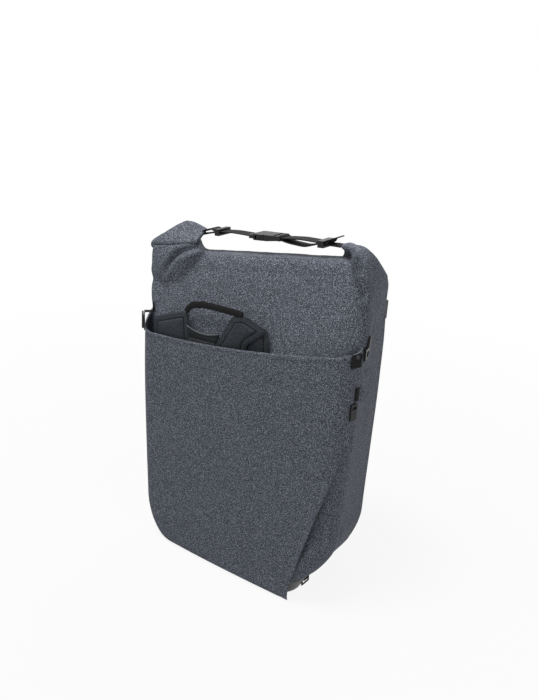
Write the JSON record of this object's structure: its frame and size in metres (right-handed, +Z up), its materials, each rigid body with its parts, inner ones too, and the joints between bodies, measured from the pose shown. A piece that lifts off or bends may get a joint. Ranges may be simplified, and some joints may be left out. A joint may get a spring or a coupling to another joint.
{
  "type": "bicycle pannier bag",
  "caption": "Roll-top bicycle pannier with rack hooks that lock and release by a pull handle, a swivelling lower hook, a buckled top strap and a backpack harness behind its front cover.",
  "frame": {"origin": "bottom centre of the overall box", "axes": "+X towards the rear of the bicycle, +Y towards the rack, +Z up"},
  "size_m": [0.3521, 0.211, 0.5068],
  "materials": {
    "coated_fabric": "matt coated melange",
    "base_fabric": "matt coated tarpaulin",
    "padding": "padded fabric",
    "mesh": "spacer mesh",
    "board": "matt sheet",
    "webbing": "woven",
    "rail": "black anodised",
    "hook_plastic": "fine matt",
    "claw_plastic": "fine matt",
    "buckle_plastic": "satin",
    "grip": "soft matt",
    "steel": "brushed"
  },
  "bodies": {
    "bag": {"back_panel": "padding", "bag_loop_left": "webbing", "bag_loop_upper": "webbing", "base_board": "board", "base_panel": "base_fabric", "base_tabs": "webbing", "body_shell": "coated_fabric", "buckle_plug": "buckle_plastic", "buckle_socket": "buckle_plastic", "claw_springs": "steel", "cover_hook_left": "buckle_plastic", "cover_hook_lower": "buckle_plastic", "cover_hook_upper": "buckle_plastic", "cover_rivet": "steel", "cover_strap_lower": "webbing", "cover_tab_left": "webbing", "cover_tab_upper": "webbing", "front_cover": "coated_fabric", "hook_nuts": "steel", "hook_rail": "rail", "hook_screws": "steel", "inner_board": "board", "inner_sleeve": "padding", "lower_rail": "rail", "lower_rail_screws": "steel", "rack_hook_left": "hook_plastic", "rack_hook_right": "hook_plastic", "rail_end_caps": "hook_plastic", "rail_screws": "steel", "roll_stiffener": "board", "roll_top": "coated_fabric", "strap_adjuster": "buckle_plastic", "strap_left": "webbing", "strap_right": "webbing", "strap_tail": "webbing", "tri_glide": "buckle_plastic"},
    "release_handle": {"handle_webbing": "webbing", "handle_grip": "grip", "handle_links": "hook_plastic"},
    "claw_left": {"claw_left": "claw_plastic"},
    "claw_right": {"claw_right": "claw_plastic"},
    "lower_carriage": {"lower_carriage": "hook_plastic", "lower_hook_screw": "steel"},
    "lower_hook": {"lower_hook": "hook_plastic"},
    "prong_front": {"prong_front": "buckle_plastic"},
    "prong_rear": {"prong_rear": "buckle_plastic"},
    "harness": {"harness_yoke": "padding", "harness_pad_left": "padding", "harness_pad_right": "padding", "harness_mesh": "mesh", "harness_handle": "webbing"},
    "base_ring_left": {"base_ring_left": "buckle_plastic"},
    "base_ring_right": {"base_ring_right": "buckle_plastic"}
  },
  "joints": [
    {"name": "handle_lift", "type": "slide", "parent": "bag", "child": "release_handle", "axis": [0, 0, 1], "range_m": [0, 0.014], "stiffness_N_per_m": 150, "springref_m": -0.005},
    {"name": "claw_left_turn", "type": "hinge", "parent": "bag", "child": "claw_left", "pos_m": [-0.082, 0.0929, 0.35], "axis": [1, 0, 0], "range_deg": [-70, 0]},
    {"name": "claw_right_turn", "type": "hinge", "parent": "bag", "child": "claw_right", "pos_m": [0.082, 0.0929, 0.35], "axis": [1, 0, 0], "range_deg": [-70, 0]},
    {"name": "lower_slide", "type": "slide", "parent": "bag", "child": "lower_carriage", "axis": [1, 0, 0], "range_m": [-0.06, 0.06]},
    {"name": "lower_swivel", "type": "hinge", "parent": "lower_carriage", "child": "lower_hook", "pos_m": [0, 0.0839, 0.13], "axis": [0, 1, 0], "range_deg": [-90, 90]},
    {"name": "prong_front_squeeze", "type": "hinge", "parent": "bag", "child": "prong_front", "pos_m": [-0.002, -0.04255, 0.4858], "axis": [-0.0995, 0, 0.995], "range_deg": [-11, 0], "stiffness_Nm_per_rad": 0.2, "springref_deg": 5.73},
    {"name": "prong_rear_squeeze", "type": "hinge", "parent": "bag", "child": "prong_rear", "pos_m": [-0.002, -0.02745, 0.4858], "axis": [-0.0995, 0, 0.995], "range_deg": [0, 11], "stiffness_Nm_per_rad": 0.2, "springref_deg": -5.73},
    {"name": "harness_lift", "type": "slide", "parent": "bag", "child": "harness", "axis": [0, 0, 1], "range_m": [0, 0.15]},
    {"name": "base_ring_left_swing", "type": "hinge", "parent": "bag", "child": "base_ring_left", "pos_m": [-0.11146, -0.0541, 0.013], "axis": [0, 1, 0], "range_deg": [-10, 100]},
    {"name": "base_ring_right_swing", "type": "hinge", "parent": "bag", "child": "base_ring_right", "pos_m": [0.11146, -0.0541, 0.013], "axis": [0, 1, 0], "range_deg": [-100, 10]}
  ],
  "couplings": [
    {"joint": "claw_left_turn", "follows": "handle_lift", "rad_per_m": -87},
    {"joint": "claw_right_turn", "follows": "handle_lift", "rad_per_m": -87},
    {"joint": "prong_rear_squeeze", "follows": "prong_front_squeeze", "ratio": -1}
  ]
}
